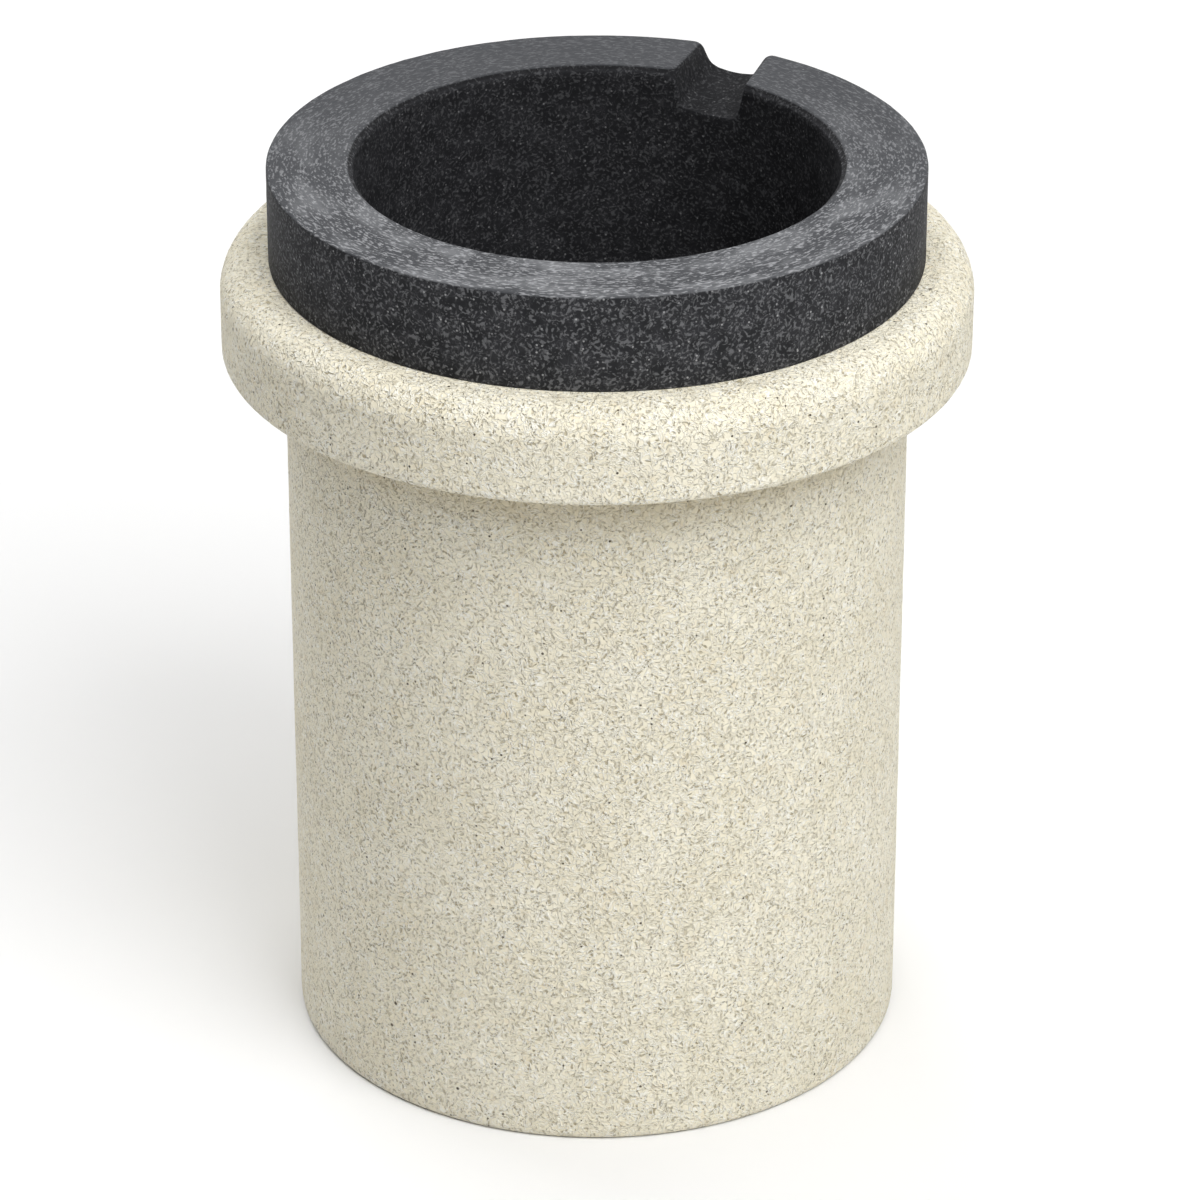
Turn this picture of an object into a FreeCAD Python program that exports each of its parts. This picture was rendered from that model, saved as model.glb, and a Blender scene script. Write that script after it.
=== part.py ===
import FreeCAD, Part
import math
import os

# A foundry crucible in two pieces, in millimetres.
# A graphite cup hangs by its collar in a cast ceramic sleeve: the collar's flat
# underside rests on the flange's flat top, and the rest of the cup stands clear.
# The origin is the centre of the sleeve's flat base, +Z is up, and the pour spout
# is cut through the collar on the +Y side.

# ---- graphite crucible: a turned cup ----
BORE_DIA = 65.0              # melt chamber
CUP_WALL = 4.5               # wall of the cup below the collar
CUP_FLOOR = 10.0             # graphite under the melt
CUP_FLOOR_RADIUS = 8.0       # inside, from the wall to the floor
CUP_FOOT_CHAMFER = 3.0       # 45 degrees, outside, at the bottom of the cup
CUP_ROOT_CHAMFER = 0.5       # under the collar, where the cup hangs from it
COLLAR_OVERHANG = 7.0        # how far the collar stands out from the cup's wall
COLLAR_HEIGHT = 13.3         # from the seat to the top face
COLLAR_EDGE_CHAMFER = 0.25   # broken edges of the collar's outer face
RIM_CHAMFER = 0.8            # 45 degrees, at the mouth of the bore

# ---- pour spout: a channel through the collar's wall, wider at the bore ----
SPOUT_DEPTH_AT_BORE = 5.65       # top face to the channel's floor
SPOUT_DEPTH_AT_LIP = 3.8         # the floor climbs towards the outer face
SPOUT_SKEW = 7.2                 # degrees off the radius, towards -X
SPOUT_FLOOR_DISH = 0.3           # the floor is slightly hollow across its width
SPOUT_OVERRUN = 2.0              # how far the cutter runs past both faces and the top
SPOUT_CREASE = 0.02              # the flanks' roundings end this far above the top face
# the cutter's two end sections, one inside the bore and one beyond the lip
INNER_FLOOR_WIDTH = 8.7
INNER_DRAFT = 12.6               # degrees, each flank from the vertical
INNER_CORNER_RADIUS = 1.3        # between the floor and each flank
INNER_EDGE_RADIUS = 0.25         # between each flank and the collar's top face
OUTER_FLOOR_WIDTH = 6.0
OUTER_DRAFT = 30.0
OUTER_CORNER_RADIUS = 2.1
OUTER_EDGE_RADIUS = 1.7

# ---- ceramic sleeve: a cast cup with a flange ----
CUP_CLEARANCE = 0.4          # radial, all round the hanging cup
FLOOR_CLEARANCE = 0.8        # under the hanging cup
MOUTH_RELIEF = 0.5           # the sleeve's mouth chamfer clears the cup's root chamfer
SLEEVE_WALL = 4.75
SLEEVE_FLOOR = 6.0
BODY_LENGTH = 100.8          # from the base to the flange's underside
FOOT_CHAMFER = 0.8           # bottom edge of the body
FLANGE_OVERHANG = 8.45       # how far the flange stands out from the body
FLANGE_THICKNESS = 13.1
FLANGE_TOP_RADIUS = 4.6      # the flange's broad shoulder
FLANGE_BOTTOM_CHAMFER = 0.6
FLANGE_ROOT_CHAMFER = 1.0    # under the flange, where it meets the body

# ---- what follows from the sizes above ----
BORE_R = BORE_DIA / 2
CUP_R = BORE_R + CUP_WALL
COLLAR_R = CUP_R + COLLAR_OVERHANG
SLEEVE_BORE_R = CUP_R + CUP_CLEARANCE
BODY_R = SLEEVE_BORE_R + SLEEVE_WALL
FLANGE_R = BODY_R + FLANGE_OVERHANG
MOUTH_CHAMFER = CUP_ROOT_CHAMFER + MOUTH_RELIEF

SEAT_Z = BODY_LENGTH + FLANGE_THICKNESS
TOP_Z = SEAT_Z + COLLAR_HEIGHT
CUP_BOTTOM_Z = SLEEVE_FLOOR + FLOOR_CLEARANCE
BORE_BOTTOM_Z = CUP_BOTTOM_Z + CUP_FLOOR

ROUNDED_SHARE = 0.9           # of a flank, the most that its two roundings may take
HOLLOW_SHARE = 0.5            # of the channel's floor, the part that the hollow's arc takes
AXIS = FreeCAD.Vector(0, 0, 1)
CENTRE = FreeCAD.Vector(0, 0, 0)


def sharp(x, z):
    """A corner of an outline that is left as it is."""
    return x, z, "sharp", 0


def chamfered(x, z, leg):
    """A corner cut straight across, this far along each side."""
    return x, z, "chamfered", leg


def rounded(x, z, radius):
    """A corner with a tangent arc."""
    return x, z, "rounded", radius


def outline(corners):
    """A closed wire in the XZ plane through sharp, chamfered and rounded corners."""
    count = len(corners)
    points = [FreeCAD.Vector(x, 0, z) for x, z, style, size in corners]
    stretches = []
    for i in range(count):
        style, size = corners[i][2:]
        corner = points[i]
        back = (points[i - 1] - corner).normalize()
        ahead = (points[(i + 1) % count] - corner).normalize()
        half_angle = back.getAngle(ahead) / 2
        if style == "sharp":
            stretches.append([corner])
        elif style == "chamfered":
            stretches.append([corner + back * size, corner + ahead * size])
        else:
            reach = size / math.tan(half_angle)
            middle = (back + ahead).normalize() * (size / math.sin(half_angle) - size)
            stretches.append([corner + back * reach, corner + middle, corner + ahead * reach])
    edges = []
    for i in range(count):
        if len(stretches[i]) == 3:
            edges.append(Part.Arc(*stretches[i]).toShape())
        elif len(stretches[i]) == 2:
            edges.append(Part.makeLine(*stretches[i]))
        edges.append(Part.makeLine(stretches[i][-1], stretches[(i + 1) % count][0]))
    return Part.Wire(edges)


def turned(corners):
    """The solid swept by a half-section turned about the vertical axis."""
    return Part.Face(outline(corners)).revolve(CENTRE, AXIS, 360)


def cup_blank():
    """The graphite cup as it leaves the lathe, before the spout is cut."""
    return turned([
        sharp(0, CUP_BOTTOM_Z),
        chamfered(CUP_R, CUP_BOTTOM_Z, CUP_FOOT_CHAMFER),
        chamfered(CUP_R, SEAT_Z, CUP_ROOT_CHAMFER),
        chamfered(COLLAR_R, SEAT_Z, COLLAR_EDGE_CHAMFER),
        chamfered(COLLAR_R, TOP_Z, COLLAR_EDGE_CHAMFER),
        chamfered(BORE_R, TOP_Z, RIM_CHAMFER),
        rounded(BORE_R, BORE_BOTTOM_Z, CUP_FLOOR_RADIUS),
        sharp(0, BORE_BOTTOM_Z),
    ])


def spout_section(y, depth, floor_width, draft, corner_radius, edge_radius):
    """One cross-section of the channel's cutter: a closed wire in the plane at y."""
    lean = math.radians(draft)
    corner_x = floor_width / 2
    corner_z = TOP_Z - depth + SPOUT_FLOOR_DISH
    edge_z = TOP_Z + SPOUT_CREASE
    flank = (edge_z - corner_z) / math.cos(lean)
    edge_x = corner_x + flank * math.sin(lean)
    shoulder_x = edge_x + SPOUT_OVERRUN + edge_radius

    # the two roundings share the flank, and the lower one also shares the floor
    reach_per_radius = 1 / math.tan((math.pi / 2 + lean) / 2)
    flank_fit = ROUNDED_SHARE * flank / (reach_per_radius * (corner_radius + edge_radius))
    floor_fit = HOLLOW_SHARE * corner_x / (reach_per_radius * corner_radius)
    fit = min(1, flank_fit, floor_fit)
    hollow_radius = HOLLOW_SHARE * corner_x * corner_x / SPOUT_FLOOR_DISH

    right = [
        rounded(corner_x, corner_z, corner_radius * fit),
        rounded(edge_x, edge_z, edge_radius * fit),
        sharp(shoulder_x, edge_z),
        sharp(shoulder_x, TOP_Z + SPOUT_OVERRUN),
    ]
    left = [(-x, z, style, size) for x, z, style, size in reversed(right)]
    section = outline([rounded(0, TOP_Z - depth, hollow_radius)] + right + left)
    section.translate(FreeCAD.Vector(0, y, 0))
    return section


def spout_cutter():
    """The channel's cutter: two sections joined by straight lines, turned off the radius."""
    climb = (SPOUT_DEPTH_AT_BORE - SPOUT_DEPTH_AT_LIP) / (COLLAR_R - BORE_R) * SPOUT_OVERRUN
    inner = spout_section(BORE_R - SPOUT_OVERRUN, SPOUT_DEPTH_AT_BORE + climb, INNER_FLOOR_WIDTH,
                          INNER_DRAFT, INNER_CORNER_RADIUS, INNER_EDGE_RADIUS)
    outer = spout_section(COLLAR_R + SPOUT_OVERRUN, SPOUT_DEPTH_AT_LIP - climb, OUTER_FLOOR_WIDTH,
                          OUTER_DRAFT, OUTER_CORNER_RADIUS, OUTER_EDGE_RADIUS)
    cutter = Part.makeLoft([inner, outer], True, True)
    cutter.rotate(FreeCAD.Vector(0, (BORE_R + COLLAR_R) / 2, 0), AXIS, SPOUT_SKEW)
    return cutter


def graphite_crucible():
    """The finished cup, with the pour spout cut through its collar."""
    return cup_blank().cut(spout_cutter())


def ceramic_sleeve():
    """The cast sleeve that carries the cup and shields it from the furnace."""
    return turned([
        sharp(0, 0),
        chamfered(BODY_R, 0, FOOT_CHAMFER),
        chamfered(BODY_R, BODY_LENGTH, FLANGE_ROOT_CHAMFER),
        chamfered(FLANGE_R, BODY_LENGTH, FLANGE_BOTTOM_CHAMFER),
        rounded(FLANGE_R, SEAT_Z, FLANGE_TOP_RADIUS),
        chamfered(SLEEVE_BORE_R, SEAT_Z, MOUTH_CHAMFER),
        chamfered(SLEEVE_BORE_R, SLEEVE_FLOOR, CUP_FOOT_CHAMFER),
        sharp(0, SLEEVE_FLOOR),
    ])


PARTS = {
    "graphite_crucible": graphite_crucible,
    "ceramic_sleeve": ceramic_sleeve,
}

os.makedirs("parts", exist_ok=True)
for name, make in PARTS.items():
    solid = make()
    solid.exportStep("parts/" + name + ".step")
    print(name, "valid:", solid.isValid(), "solids:", len(solid.Solids), "cm3:", round(solid.Volume / 1000, 2))
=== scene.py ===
"""Foundry crucible: a graphite cup that hangs by its collar in a cast ceramic sleeve.

The two lathe-shaped meshes below stand for the two CAD nodes and keep their sizes. They add
the soft roundings, the uneven cast skin and the worn edges. Lengths are in millimetres until
a mesh is made, and the frame is the CAD frame: +Z up, the spout towards +Y.
"""
import math

import bpy
import numpy as np
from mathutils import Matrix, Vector, noise

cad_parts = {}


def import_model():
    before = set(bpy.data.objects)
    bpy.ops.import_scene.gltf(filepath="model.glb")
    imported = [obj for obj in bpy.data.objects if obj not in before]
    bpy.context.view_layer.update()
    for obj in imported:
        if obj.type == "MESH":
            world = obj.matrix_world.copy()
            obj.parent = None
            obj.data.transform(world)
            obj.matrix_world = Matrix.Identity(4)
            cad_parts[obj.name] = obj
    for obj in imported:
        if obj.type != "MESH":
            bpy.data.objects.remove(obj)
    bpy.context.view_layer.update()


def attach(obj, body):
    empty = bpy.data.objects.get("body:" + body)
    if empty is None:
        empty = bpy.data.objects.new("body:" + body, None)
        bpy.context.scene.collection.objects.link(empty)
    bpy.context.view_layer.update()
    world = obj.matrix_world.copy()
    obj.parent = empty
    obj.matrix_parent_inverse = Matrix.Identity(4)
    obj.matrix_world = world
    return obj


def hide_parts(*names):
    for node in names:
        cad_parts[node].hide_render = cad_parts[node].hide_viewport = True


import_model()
MM = 0.001
ARC_SPACING = 0.45             # between the points of a quarter-round

# ---- sizes shared with the solids ----
BORE_R = 32.5
CUP_R = BORE_R + 4.5
COLLAR_R = CUP_R + 7
SLEEVE_BORE_R = CUP_R + 0.4
BODY_R = SLEEVE_BORE_R + 4.75
FLANGE_R = BODY_R + 8.45
BODY_LENGTH = 100.8
SEAT_Z = BODY_LENGTH + 13.1
TOP_Z = SEAT_Z + 13.3
SLEEVE_FLOOR = 6.0
CUP_BOTTOM_Z = SLEEVE_FLOOR + 0.8
BORE_BOTTOM_Z = CUP_BOTTOM_Z + 10
RIM_CHAMFER = 0.8
FLANGE_TOP_RADIUS = 4.6

# ---- pour spout: a channel lofted between a section inside the bore and one beyond the lip ----
SPOUT_SKEW = math.radians(7.2)
SPOUT_PIVOT_Y = (BORE_R + COLLAR_R) / 2
INNER_SECTION = {"y": BORE_R - 2, "depth": 5.97, "floor": 8.7, "draft": 12.6, "corner": 1.3, "edge": 0.25}
OUTER_SECTION = {"y": COLLAR_R + 2, "depth": 3.48, "floor": 6.0, "draft": 30.0, "corner": 2.1, "edge": 1.7}
FLOOR_DISH = 0.3


# ---------------------------------------------------------------- outlines

def arc_points(back, corner, ahead, radius, steps):
    """Points of the tangent arc that rounds a corner, from the side of back to that of ahead."""
    corner = np.array(corner, float)
    to_back = np.array(back, float) - corner
    to_ahead = np.array(ahead, float) - corner
    to_back /= np.linalg.norm(to_back)
    to_ahead /= np.linalg.norm(to_ahead)
    half = math.acos(max(-1.0, min(1.0, float(to_back @ to_ahead)))) / 2
    middle = to_back + to_ahead
    centre = corner + middle / np.linalg.norm(middle) * radius / math.sin(half)
    start = corner + to_back * radius / math.tan(half) - centre
    end = corner + to_ahead * radius / math.tan(half) - centre
    turn = math.pi - 2 * half
    points = []
    for t in np.linspace(0, 1, steps + 1):
        points.append(centre + (start * math.sin((1 - t) * turn) + end * math.sin(t * turn)) / math.sin(turn))
    return points


def profile(corners):
    """Half-section points through corners (x, z, radius, step), step being the spacing after the corner."""
    points = [np.array(corners[0][:2], float)]
    for i in range(1, len(corners)):
        x, z, radius, step = corners[i]
        if radius and i + 1 < len(corners):
            steps = max(4, round(1.57 * radius / ARC_SPACING))
            arc = arc_points(corners[i - 1][:2], (x, z), corners[i + 1][:2], radius, steps)
        else:
            arc = [np.array([x, z], float)]
        start = points[-1]
        count = max(1, round(float(np.linalg.norm(arc[0] - start)) / corners[i - 1][3]))
        points += [start + (arc[0] - start) * k / count for k in range(1, count)]
        points += arc
    return np.array(points)


# ---------------------------------------------------------------- meshes

def grid_mesh(name, rows, first_centre, last_centre):
    """A closed skin from rings of points (row, column, xyz), capped by a fan at each end."""
    count, columns = rows.shape[:2]
    vertices = np.vstack([rows.reshape(-1, 3), [first_centre], [last_centre]]) * MM
    index = np.arange(count * columns).reshape(count, columns)
    right = np.roll(index, -1, axis=1)
    quads = np.stack([index[:-1], right[:-1], right[1:], index[1:]], axis=-1).reshape(-1, 4)
    first, last = count * columns, count * columns + 1
    faces = quads.tolist()
    faces += [[first, right[0, j], index[0, j]] for j in range(columns)]
    faces += [[last, index[-1, j], right[-1, j]] for j in range(columns)]
    mesh = bpy.data.meshes.new(name)
    mesh.from_pydata(vertices.tolist(), [], faces)
    mesh.shade_smooth()
    made = bpy.data.objects.new(name, mesh)
    bpy.context.scene.collection.objects.link(made)
    return made


def noise_at(points, wavelength, seed=0.0):
    """Smooth noise from -1 to 1 at each point, in millimetres."""
    shifted = points / wavelength + np.array([seed * 7.31, seed * 3.17, seed * 5.93])
    return np.array([noise.noise(Vector(p)) for p in shifted.reshape(-1, 3)]).reshape(points.shape[:-1])


def smooth_step(value, low, high):
    t = np.clip((value - low) / (high - low), 0, 1)
    return t * t * (3 - 2 * t)


# ---------------------------------------------------------------- graphite cup

def spout_section(y, depth, floor, draft, corner, edge):
    """Right half of a channel section from the middle of its floor to its top edge: x and z."""
    lean = math.radians(draft)
    corner_x = floor / 2
    corner_z = TOP_Z - depth + FLOOR_DISH
    flank = (TOP_Z - corner_z) / math.cos(lean)
    edge_x = corner_x + flank * math.sin(lean)
    per_radius = 1 / math.tan((math.pi / 2 + lean) / 2)
    fit = min(1, 0.9 * flank / (per_radius * (corner + edge)), 0.25 * floor / (per_radius * corner))
    low = arc_points((0, TOP_Z - depth), (corner_x, corner_z), (edge_x, TOP_Z), corner * fit, 6)
    high = arc_points((corner_x, corner_z), (edge_x, TOP_Z), (edge_x + 9, TOP_Z), edge * fit, 7)
    points = []
    for t in np.linspace(0, 1, 8)[:-1]:
        x = low[0][0] * t
        points.append(np.array([x, TOP_Z - depth + (low[0][1] - TOP_Z + depth) * t * t]))
    points += low
    points += [low[-1] + (high[0] - low[-1]) * t for t in np.linspace(0, 1, 9)[1:-1]]
    points += high
    return np.array(points)


def channel_lines():
    """For each column of the channel, left to right: its two end points in the CAD frame."""
    ends = []
    for section in (INNER_SECTION, OUTER_SECTION):
        half = spout_section(**section)
        full = np.vstack([half[:0:-1] * [-1, 1], half])
        x, z = full[:, 0], full[:, 1]
        along = section["y"] - SPOUT_PIVOT_Y
        turned_x = x * math.cos(SPOUT_SKEW) - along * math.sin(SPOUT_SKEW)
        turned_y = x * math.sin(SPOUT_SKEW) + along * math.cos(SPOUT_SKEW) + SPOUT_PIVOT_Y
        ends.append(np.stack([turned_x, turned_y, z], axis=-1))
    return ends


def meet_radius(start, end, radius):
    """Points where the lines from start to end pass this distance from the axis."""
    step = end - start
    a = (step[:, :2] ** 2).sum(1)
    b = (start[:, :2] * step[:, :2]).sum(1)
    c = (start[:, :2] ** 2).sum(1) - radius ** 2
    t = (-b + np.sqrt(b * b - a * c)) / a
    return start + step * t[:, None]


def quarter(distance, radius):
    """How far a quarter-round of this radius drops at this distance from the face it ends on."""
    share = np.clip((radius - distance) / np.maximum(radius, 1e-6), 0, 1)
    return radius * (1 - np.sqrt(1 - share * share))


def cup_columns(open_columns=540):
    """Inner and outer angle of each column, its channel line and its place in the channel."""
    start, end = channel_lines()
    inner = meet_radius(start, end, BORE_R)
    outer = meet_radius(start, end, COLLAR_R)
    in_angle = np.arctan2(inner[:, 0], inner[:, 1])      # from +Y, clockwise seen from above
    out_angle = np.arctan2(outer[:, 0], outer[:, 1])
    share = np.arange(1, open_columns) / open_columns
    open_in = in_angle[-1] + share * (2 * math.pi - (in_angle[-1] - in_angle[0]))
    open_out = out_angle[-1] + share * (2 * math.pi - (out_angle[-1] - out_angle[0]))
    return start, end, np.append(in_angle, open_in), np.append(out_angle, open_out)


def graphite_rows():
    start, end, in_angle, out_angle = cup_columns()
    count, channel = len(in_angle), len(start)
    half = channel // 2
    place = np.full(count, 2.0)                       # 0 middle of the floor, 1 top edge, 2 plain collar
    place[:channel] = np.abs(np.arange(channel) - half) / half
    side = np.sign(np.arange(channel) - half)
    flank = np.zeros(count)                           # 1 on the flanks and beyond, 0 on the floor
    flank[:channel] = smooth_step(place[:channel], 0.28, 0.62)

    # distance along the collar's face from the channel's top edge, for the mouth's soft corners
    beyond = np.zeros(count)
    arc = (out_angle[channel:] - out_angle[channel - 1]) * COLLAR_R
    whole = (2 * math.pi - (out_angle[channel - 1] - out_angle[0])) * COLLAR_R
    beyond[channel:] = np.minimum(arc, whole - arc)
    push_side = np.zeros(count)
    push_side[:channel] = side
    push_side[channel:] = np.where(arc < whole / 2, 1.0, -1.0)
    push = push_side * np.clip(1 - beyond / 6, 0, 1)
    push[:channel] *= flank[:channel]

    outer_soft = np.where(place <= 1, 0.08 + 0.2 * flank, 0.28)
    rings = []

    def ring(radius, angle, z):
        level = np.broadcast_to(z, angle.shape)
        rings.append(np.stack([radius * np.sin(angle), radius * np.cos(angle), level], axis=-1))

    # bore floor and the lower bore wall
    split_z = TOP_Z - 12
    bore = profile([(3, BORE_BOTTOM_Z, 0, 5), (BORE_R, BORE_BOTTOM_Z, 8, 2.6), (BORE_R, split_z, 0, 1)])
    for x, z in bore:
        ring(x, in_angle, z)

    # the top: face, channel and both broken edges
    in_gap = [0, 0.04, 0.1, 0.2, 0.35, 0.55, 0.7, 0.8, 0.9, 1.1]
    out_gap = [1.0, 0.75, 0.55, 0.38, 0.24, 0.14, 0.07, 0.025, 0]
    radii = [BORE_R + g for g in in_gap]
    radii += list(np.linspace(BORE_R + in_gap[-1], COLLAR_R - out_gap[0], 22)[1:-1])
    radii += [COLLAR_R - g for g in out_gap]
    top = []
    for radius in radii:
        share = (radius - BORE_R) / (COLLAR_R - BORE_R)
        angle = in_angle + (out_angle - in_angle) * share
        x, y = radius * np.sin(angle), radius * np.cos(angle)
        z = np.full(count, TOP_Z)
        line = meet_radius(start, end, radius)
        x[:channel], y[:channel], z[:channel] = line.T
        cone = TOP_Z - RIM_CHAMFER + (radius - BORE_R)
        soft = 0.06
        easing = 0.25 * soft * np.clip(1 - np.abs(z - cone) / soft, 0, 1)
        z = np.where(z > cone - soft, np.minimum(z, cone) - easing, z)
        z = z - quarter(radius - BORE_R, np.where(place < 0.62, 0.1, 0.02))
        z = z - quarter(COLLAR_R - radius, outer_soft)
        turn = push * quarter(COLLAR_R - radius, 0.75) / radius
        turn += push * quarter(radius - BORE_R, 0.3) / radius
        spun = np.arctan2(x, y) + turn
        top.append(np.stack([radius * np.sin(spun), radius * np.cos(spun), z], axis=-1))
    upper = top[0][:, 2]
    in_top_angle = np.arctan2(top[0][:, 0], top[0][:, 1])
    in_drift = np.angle(np.exp(1j * (in_top_angle - in_angle)))
    for t in np.linspace(0, 1, 15)[1:-1]:
        ring(BORE_R, in_angle + in_drift * t ** 3, split_z + (upper - split_z) * t)
    rings += top

    # collar's outer wall, seat and the hidden part of the cup
    lower = top[-1][:, 2]
    out_top_angle = np.arctan2(top[-1][:, 0], top[-1][:, 1])
    out_drift = np.angle(np.exp(1j * (out_top_angle - out_angle)))
    for t in np.linspace(0, 1, 26)[1:-1]:
        ring(COLLAR_R, out_angle + out_drift * (1 - t) ** 3, lower + (SEAT_Z + 0.3 - lower) * t)
    under = profile([(COLLAR_R, SEAT_Z + 0.3, 0, 1), (COLLAR_R, SEAT_Z, 0.25, 2.4), (CUP_R, SEAT_Z, 0, 1),
                     (CUP_R, CUP_BOTTOM_Z + 3, 0, 1), (CUP_R - 3, CUP_BOTTOM_Z, 0, 12), (6, CUP_BOTTOM_Z, 0, 1)])
    for i, (x, z) in enumerate(under):
        plain_wall = x == CUP_R and i > 0 and abs(z - under[i - 1][1]) >= 2
        if not plain_wall or i % 14 == 0:             # the cup's hidden straight wall needs few rings
            ring(x, out_angle, z)
    return np.array(rings)


def graphite_cup():
    rows = graphite_rows()
    radius = np.linalg.norm(rows[..., :2], axis=-1)
    z = rows[..., 2]
    seen = smooth_step(z, SEAT_Z + 0.2, SEAT_Z + 1.2)[..., None]
    outward = rows[..., :2] / np.maximum(radius, 1)[..., None]
    wavy = 0.03 * noise_at(rows, 5.0, 1) + 0.022 * noise_at(rows, 1.6, 2)
    rise = 0.02 * noise_at(rows, 4.0, 3) + 0.016 * noise_at(rows, 1.3, 4)
    rows[..., :2] += outward * wavy[..., None] * seen
    rows[..., 2] += rise * seen[..., 0]
    shave(rows, (-5.35, 32.35, TOP_Z - 0.55), (0.62, -0.45, 0.64))
    return grid_mesh("cup", rows, (0, 0, BORE_BOTTOM_Z), (0, 0, CUP_BOTTOM_Z))


def shave(rows, point, normal):
    """A small flat worn on a corner: what stands above the plane is pressed onto it."""
    normal = np.array(normal) / np.linalg.norm(normal)
    near = np.linalg.norm(rows - np.array(point), axis=-1) < 3
    above = np.clip((rows - np.array(point)) @ normal, 0, None) * near
    rows -= above[..., None] * normal


# ---------------------------------------------------------------- ceramic sleeve

SKIN_DROP = 0.05              # the uneven skin is set this far inwards


def ceramic_sleeve(columns=620):
    outline = profile([
        (4, SLEEVE_FLOOR, 0, 12), (SLEEVE_BORE_R, SLEEVE_FLOOR, 3, 25), (SLEEVE_BORE_R, SEAT_Z, 1.0, 2),
        (COLLAR_R - 0.2, SEAT_Z, 0, 0.45), (FLANGE_R, SEAT_Z, FLANGE_TOP_RADIUS, 0.5),
        (FLANGE_R, BODY_LENGTH, 0.85, 0.9), (BODY_R, BODY_LENGTH, 0.5, 0.88), (BODY_R, 0, 0.95, 3), (4, 0, 0, 9)])
    angle = np.arange(columns) * 2 * math.pi / columns
    across = np.stack([np.sin(angle), np.cos(angle)], axis=-1)
    rows = np.empty((len(outline), columns, 3))
    rows[..., :2] = outline[:, None, 0:1] * across
    rows[..., 2] = outline[:, None, 1]

    # outward direction of each ring
    tangent = np.gradient(outline, axis=0)
    tangent /= np.linalg.norm(tangent, axis=1)[:, None]
    out_r, out_z = -tangent[:, 1], tangent[:, 0]
    r, z = outline[:, 0], outline[:, 1]
    seen = smooth_step(r, COLLAR_R + 0.1, COLLAR_R + 0.9) * (z > BODY_LENGTH - 0.5)
    seen = np.maximum(seen, (r > BODY_R - 1.2) * (z < BODY_LENGTH + 1) * smooth_step(z, 0.0, 0.6))
    shoulder = smooth_step(z, BODY_LENGTH + 7.0, SEAT_Z - 1.6) * (r > COLLAR_R)
    worms = 1 - 2.4 * np.abs(noise_at(rows, 1.5, 5))
    lumps = noise_at(rows, 6.0, 6)
    grain = noise_at(rows, 1.0, 7)
    height = 0.035 * lumps + 0.03 * grain + (0.012 + 0.06 * shoulder[:, None]) * worms
    height = (height - SKIN_DROP) * seen[:, None]
    rows[..., :2] += (height * out_r[:, None])[..., None] * across
    rows[..., 2] += height * out_z[:, None]
    return grid_mesh("sleeve", rows, (0, 0, SLEEVE_FLOOR), (0, 0, 0))


# ---------------------------------------------------------------- materials

class Nodes:
    """Short calls to build a material's node tree."""

    def __init__(self, name):
        self.material = bpy.data.materials.new(name)
        self.material.use_nodes = True
        self.tree = self.material.node_tree
        self.shader = self.tree.nodes["Principled BSDF"]

    def put(self, socket, value):
        if isinstance(value, bpy.types.NodeSocket):
            self.tree.links.new(value, socket)
        elif value is not None:
            socket.default_value = value

    def add(self, kind, *inputs, out=0, **settings):
        made = self.tree.nodes.new("ShaderNode" + kind)
        for key, value in settings.items():
            setattr(made, key, value)
        for socket, value in zip(made.inputs, inputs):
            self.put(socket, value)
        return made.outputs[out]

    def math(self, operation, a, b=None, c=None, clamp=False):
        return self.add("Math", a, b, c, operation=operation, use_clamp=clamp)

    def ramp(self, value, low, high, to_low=0.0, to_high=1.0):
        return self.add("MapRange", value, low, high, to_low, to_high, interpolation_type="SMOOTHSTEP")

    def mix(self, share, a, b):
        made = self.tree.nodes.new("ShaderNodeMix")
        made.data_type = "RGBA"
        self.put(made.inputs["Factor"], share)
        self.put(made.inputs["A"], a)
        self.put(made.inputs["B"], b)
        return made.outputs["Result"]

    def parts(self, value, kind="SeparateXYZ"):
        """The three components of a vector or colour."""
        made = self.tree.nodes.new("ShaderNode" + kind)
        self.put(made.inputs[0], value)
        return made.outputs

    def spread(self, colour, reach):
        """A noise colour turned into a shift of up to half of reach either way."""
        centred = self.add("VectorMath", colour, (0.5, 0.5, 0.5), operation="SUBTRACT")
        return self.add("VectorMath", centred, (reach, reach, reach), operation="MULTIPLY")

    def place(self):
        """Object coordinates in millimetres."""
        where = self.add("TexCoord", out=3)
        return self.add("VectorMath", where, (1000.0, 1000.0, 1000.0), operation="MULTIPLY")

    def noise(self, where, wavelength, detail=2.0, roughness=0.5, out=0):
        made = self.tree.nodes.new("ShaderNodeTexNoise")
        self.put(made.inputs["Vector"], where)
        made.inputs["Scale"].default_value = 1 / wavelength
        made.inputs["Detail"].default_value = detail
        made.inputs["Roughness"].default_value = roughness
        return made.outputs[out]

    def cells(self, where, size, out="Distance"):
        made = self.tree.nodes.new("ShaderNodeTexVoronoi")
        self.put(made.inputs["Vector"], where)
        made.inputs["Scale"].default_value = 1 / size
        return made.outputs[out]

    def bump(self, height, strength, distance):
        made = self.tree.nodes.new("ShaderNodeBump")
        made.inputs["Strength"].default_value = strength
        made.inputs["Distance"].default_value = distance
        self.put(made.inputs["Height"], height)
        return made.outputs[0]


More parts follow.
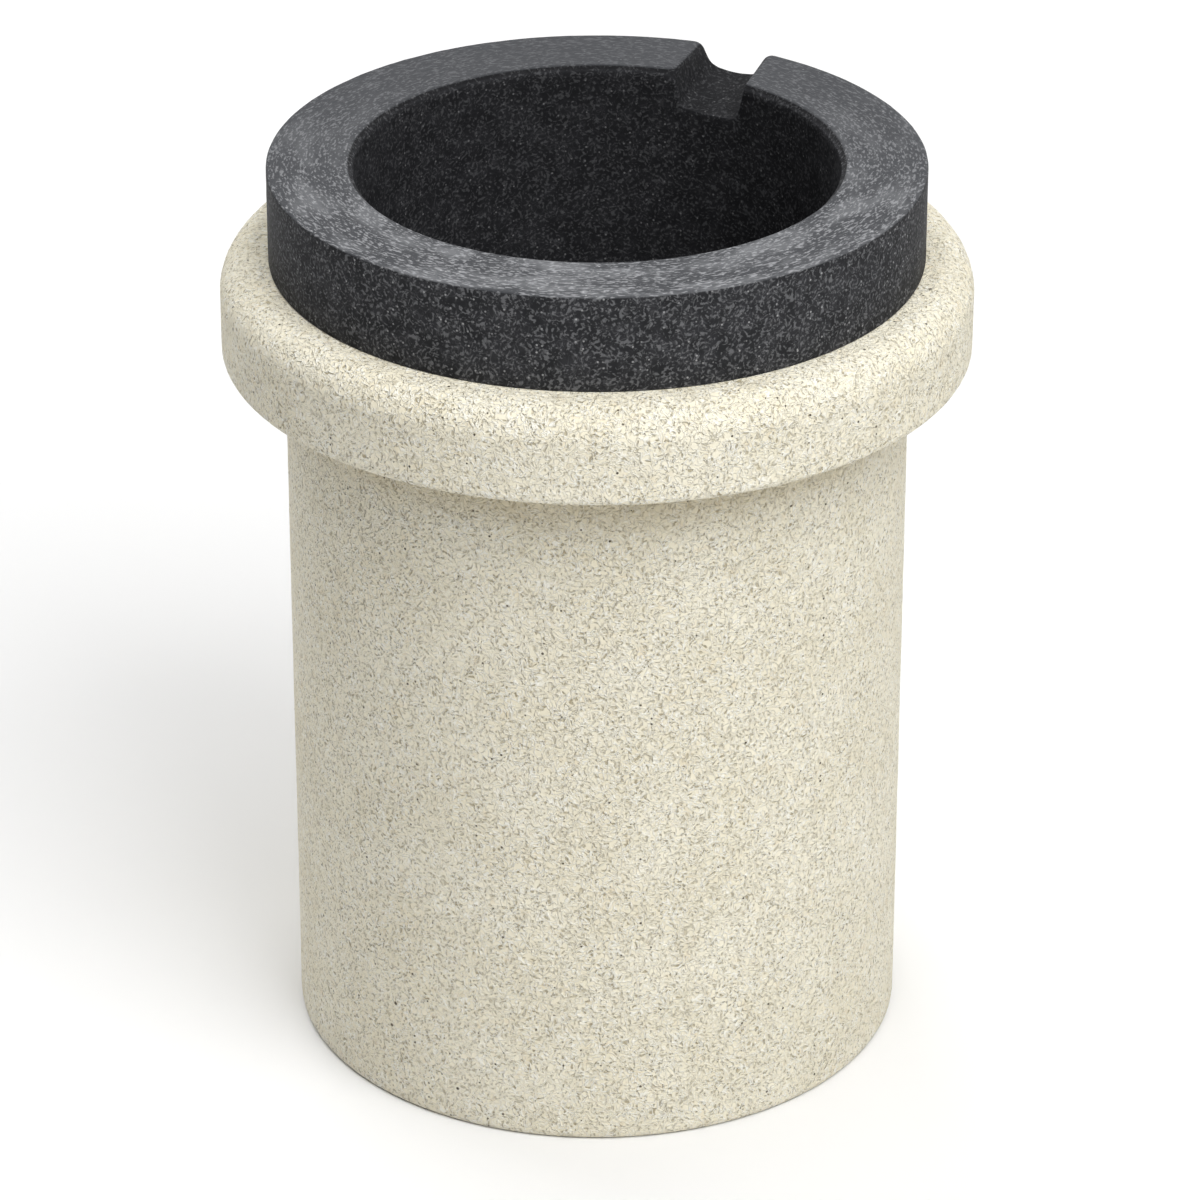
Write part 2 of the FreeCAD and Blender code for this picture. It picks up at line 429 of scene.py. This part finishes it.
def ceramic_material():
    n = Nodes("ceramic")
    where = n.place()
    z = n.parts(where)[2]
    swirl = n.spread(n.noise(where, 1.6, 1.0, out=1), 1.3)
    bent = n.add("VectorMath", where, swirl, operation="ADD")

    fibre = n.math("ABSOLUTE", n.math("SUBTRACT", n.noise(bent, 0.62, 1.0), 0.5))
    fibre = n.ramp(fibre, 0.0, 0.09, 1.0, 0.0)                 # 1 on a fibre's ridge
    hollow = n.ramp(n.noise(bent, 0.46, 1.0), 0.30, 0.47, 1.0, 0.0)    # 1 in a hollow between fibres
    patch = n.ramp(n.noise(where, 2.4, 2.0), 0.38, 0.62)       # where the skin is open rather than smooth
    broad = n.ramp(n.noise(where, 11.0, 3.0), 0.35, 0.65)
    tint = n.ramp(n.noise(where, 2.1, 3.0), 0.57, 0.74)

    cream = n.mix(broad, (0.900, 0.838, 0.660, 1), (0.950, 0.895, 0.725, 1))
    cream = n.mix(n.math("MULTIPLY", tint, 0.35), cream, (0.780, 0.650, 0.430, 1))
    # painted shade: the hollows between the fibres are painted darker and browner, standing in for their shade
    hollow_painted_shade = n.math("MULTIPLY", hollow, n.math("MULTIPLY_ADD", patch, 0.4, 0.55))
    cream = n.mix(hollow_painted_shade, cream, (0.440, 0.380, 0.250, 1))
    # painted highlight: the ridges of the fibres are painted lighter, standing in for the light on them
    fibre_painted_highlight = n.math("MULTIPLY", fibre, n.math("MULTIPLY_ADD", patch, 0.5, 0.4))
    cream = n.mix(fibre_painted_highlight, cream, (1.000, 0.985, 0.900, 1))

    # painted shade: the body is painted a little darker and warmer just under the flange, where the flange's
    # shadow falls
    below_flange = n.math("LESS_THAN", z, BODY_LENGTH)
    under = n.math("MULTIPLY", n.ramp(z, BODY_LENGTH - 10, BODY_LENGTH - 4), below_flange)
    cream = n.mix(n.math("MULTIPLY", under, 0.35), cream, (0.520, 0.420, 0.240, 1))

    # pinholes: many small ones and a few large ones
    holes = None
    for size, chance, radius in ((1.15, 0.80, 0.135), (5.0, 0.80, 0.052)):
        near = n.cells(where, size)
        pick = n.parts(n.cells(where, size, "Color"), "SeparateColor")
        radius = n.math("MULTIPLY", n.math("MULTIPLY_ADD", pick[1], 0.8, 0.6), radius)
        hole = n.math("SUBTRACT", 1.0, n.math("DIVIDE", near, radius), clamp=True)
        hole = n.ramp(hole, 0.0, 0.45)
        hole = n.math("MULTIPLY", hole, n.math("GREATER_THAN", pick[0], chance))
        holes = hole if holes is None else n.math("MAXIMUM", holes, hole)
    # painted shade: the pinholes are painted near black, standing in for the shade inside each hole
    cream = n.mix(n.math("MULTIPLY", holes, 0.9), cream, (0.070, 0.048, 0.024, 1))

    n.put(n.shader.inputs["Base Color"], cream)
    n.shader.inputs["Roughness"].default_value = 0.9
    n.shader.inputs["Specular IOR Level"].default_value = 0.2
    height = n.math("SUBTRACT", n.math("MULTIPLY", fibre, 0.6), n.math("MULTIPLY", hollow, 0.9))
    height = n.math("SUBTRACT", height, n.math("MULTIPLY", holes, 1.5))
    n.put(n.shader.inputs["Normal"], n.bump(height, 1.0, 0.00016))
    return n.material


def graphite_material():
    n = Nodes("graphite")
    where = n.place()
    x, y, z = n.parts(where)
    radius = n.math("SQRT", n.math("ADD", n.math("MULTIPLY", x, x), n.math("MULTIPLY", y, y)))
    face = n.ramp(z, TOP_Z - 0.25, TOP_Z - 0.05)               # the flat top of the collar
    inside = n.ramp(radius, BORE_R + 0.15, BORE_R + 0.35, 1.0, 0.0)
    scuffs_and_painted_light = n.math("MULTIPLY_ADD", x, 0.452 / COLLAR_R, n.math("MULTIPLY", y, -0.892 / COLLAR_R))
    scuffs_and_painted_light = n.ramp(scuffs_and_painted_light, -0.9, 1.0)                             # 1 on the side towards -Y and +X; it sets the lighter scuffs on the top face, the painted glints and the painted side shade

    # on the top face the marks run round the collar, as a lathe tool leaves them
    turn = n.math("MULTIPLY", n.math("ARCTAN2", x, y), 24.0)
    round_way = n.add("CombineXYZ", turn, n.math("MULTIPLY", radius, 1.7), n.math("MULTIPLY", z, 1.0))
    bent = n.add("VectorMath", where, n.spread(n.noise(where, 1.5, 1.0, out=1), 1.2), operation="ADD")
    grain = n.mix(face, n.noise(bent, 0.45, 2.0), n.noise(round_way, 0.5, 2.0))
    curl = n.math("ABSOLUTE", n.math("SUBTRACT", n.noise(bent, 0.75, 0.0), 0.5))
    curl = n.ramp(curl, 0.0, 0.06, 1.0, 0.0)
    mottle = n.ramp(n.noise(where, 2.6, 3.0, 0.6), 0.35, 0.68)
    scuff = n.ramp(n.noise(round_way, 8.0, 4.0, 0.6), 0.42, 0.66)
    near = n.cells(where, 0.8)
    pick = n.parts(n.cells(where, 0.8, "Color"), "SeparateColor")
    # painted glints: bright dots in the colour stand in for light glinting off graphite flakes
    painted_glints = n.math("MULTIPLY", n.ramp(near, 0.08, 0.24, 1.0, 0.0), n.ramp(pick[0], 0.45, 0.95))

    dark = n.mix(mottle, (0.022, 0.0225, 0.0245, 1), (0.036, 0.0365, 0.040, 1))
    light = n.mix(n.math("MULTIPLY", scuff, scuffs_and_painted_light), (0.060, 0.062, 0.067, 1), (0.170, 0.174, 0.182, 1))
    # painted shade: the outer sides turned away from -Y and +X are painted darker
    painted_side_shade = n.math("MULTIPLY", n.ramp(scuffs_and_painted_light, 0.95, 0.60), n.math("SUBTRACT", 1.0, inside))
    dark = n.mix(n.math("MULTIPLY", painted_side_shade, 0.7), dark, (0.010, 0.010, 0.011, 1))
    base = n.mix(face, dark, light)
    # painted shade: the bore is painted darker
    base = n.mix(n.math("MULTIPLY", inside, 0.45), base, (0.012, 0.012, 0.0135, 1))
    # painted glints: the streaks, curls and dots below are bright colour standing in for flake glints, with more
    # of them towards -Y and +X and in the bore
    painted_glint_share = n.math("MULTIPLY_ADD", scuffs_and_painted_light, 0.75, 0.25)
    painted_glint_share = n.math("MAXIMUM", painted_glint_share, n.math("MULTIPLY", inside, 0.45))
    streak = n.ramp(grain, 0.50, 0.66)
    streak_share = n.math("MULTIPLY", painted_glint_share, n.math("MULTIPLY_ADD", face, 0.35, 0.28))
    base = n.mix(n.math("MULTIPLY", streak, streak_share), base, (0.40, 0.405, 0.42, 1))
    curl = n.math("MULTIPLY", curl, n.math("MULTIPLY", n.math("MULTIPLY", mottle, painted_glint_share), 0.16))
    base = n.mix(curl, base, (0.30, 0.30, 0.31, 1))
    base = n.mix(n.math("MULTIPLY", painted_glints, n.math("MULTIPLY", painted_glint_share, 0.6)), base, (0.62, 0.62, 0.63, 1))
    n.put(n.shader.inputs["Base Color"], base)
    n.shader.inputs["Roughness"].default_value = 0.55
    n.shader.inputs["Specular IOR Level"].default_value = 0.04
    height = n.math("ADD", grain, n.math("MULTIPLY", mottle, 0.5))
    n.put(n.shader.inputs["Normal"], n.bump(height, 0.5, 0.00012))
    return n.material


# ---------------------------------------------------------------- floor, light and camera

def floor():
    mesh = bpy.data.meshes.new("floor")
    reach = 4.0
    corners = [(-reach, -reach, 0), (reach, -reach, 0), (reach, reach, 0), (-reach, reach, 0)]
    mesh.from_pydata(corners, [], [(0, 1, 2, 3)])
    made = bpy.data.objects.new("floor", mesh)
    bpy.context.scene.collection.objects.link(made)
    n = Nodes("floor")
    seen = None
    for ray in ("Is Camera Ray", "Is Glossy Ray", "Is Transmission Ray"):
        path = n.tree.nodes.new("ShaderNodeLightPath").outputs[ray]
        seen = path if seen is None else n.math("MAXIMUM", seen, path)
    n.put(n.shader.inputs["Base Color"], n.mix(seen, (0.80, 0.80, 0.80, 1), (0.88, 0.88, 0.88, 1)))
    n.shader.inputs["Roughness"].default_value = 1.0
    n.shader.inputs["Specular IOR Level"].default_value = 0.0
    mesh.materials.append(n.material)
    return made


def world(ambient):
    made = bpy.data.worlds.new("studio")
    bpy.context.scene.world = made
    made.use_nodes = True
    tree = made.node_tree
    background = tree.nodes["Background"]
    path = tree.nodes.new("ShaderNodeLightPath")
    seen = path.outputs["Is Camera Ray"]
    for name in ("Is Glossy Ray", "Is Transmission Ray"):
        either = tree.nodes.new("ShaderNodeMath")
        either.operation = "MAXIMUM"
        tree.links.new(seen, either.inputs[0])
        tree.links.new(path.outputs[name], either.inputs[1])
        seen = either.outputs[0]
    level = tree.nodes.new("ShaderNodeMapRange")
    tree.links.new(seen, level.inputs["Value"])
    level.inputs["To Min"].default_value = ambient
    level.inputs["To Max"].default_value = 1.0
    background.inputs["Color"].default_value = (1, 1, 1, 1)
    tree.links.new(level.outputs[0], background.inputs["Strength"])


LAMP_TARGET_Z = 0.07          # metres, a little above the middle of the object


def lamp(name, azimuth, elevation, distance, size, power):
    """A square soft light aimed at the object; azimuth 0 is on the -Y side and 90 on the +X side."""
    data = bpy.data.lights.new(name, "AREA")
    data.shape = "SQUARE"
    data.size = size
    data.energy = power
    made = bpy.data.objects.new(name, data)
    bpy.context.scene.collection.objects.link(made)
    a, e = math.radians(azimuth), math.radians(elevation)
    back = Vector((math.sin(a) * math.cos(e), -math.cos(a) * math.cos(e), math.sin(e)))
    made.location = Vector((0, 0, LAMP_TARGET_Z)) + back * distance
    made.rotation_euler = back.to_track_quat("Z", "Y").to_euler()
    made.visible_glossy = False
    return made


def camera():
    data = bpy.data.cameras.new("camera")
    data.lens = 175.8
    data.sensor_width = 36
    data.shift_x = 0.0024
    made = bpy.data.objects.new("camera", data)
    made.location = (0.3246, -0.6398, 0.43545)
    made.rotation_euler = (math.radians(62.45), 0, math.radians(26.9))
    bpy.context.scene.collection.objects.link(made)
    bpy.context.scene.camera = made


def dress(piece, node, material):
    piece.data.materials.append(material)
    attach(piece, "root")
    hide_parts(node)


cup = graphite_cup()
sleeve = ceramic_sleeve()
floor()
dress(cup, "graphite_crucible", graphite_material())
dress(sleeve, "ceramic_sleeve", ceramic_material())
world(0.05)
lamp("key", 64, 45, 1.0, 0.7, 5.8)
lamp("top", 37, 70, 1.0, 1.0, 7.6)
lamp("fill_left", -123, 27, 1.0, 0.9, 7.0)
lamp("fill_right", 177, 20, 1.0, 0.9, 3.0)
camera()
bpy.context.scene.view_settings.view_transform = "Standard"
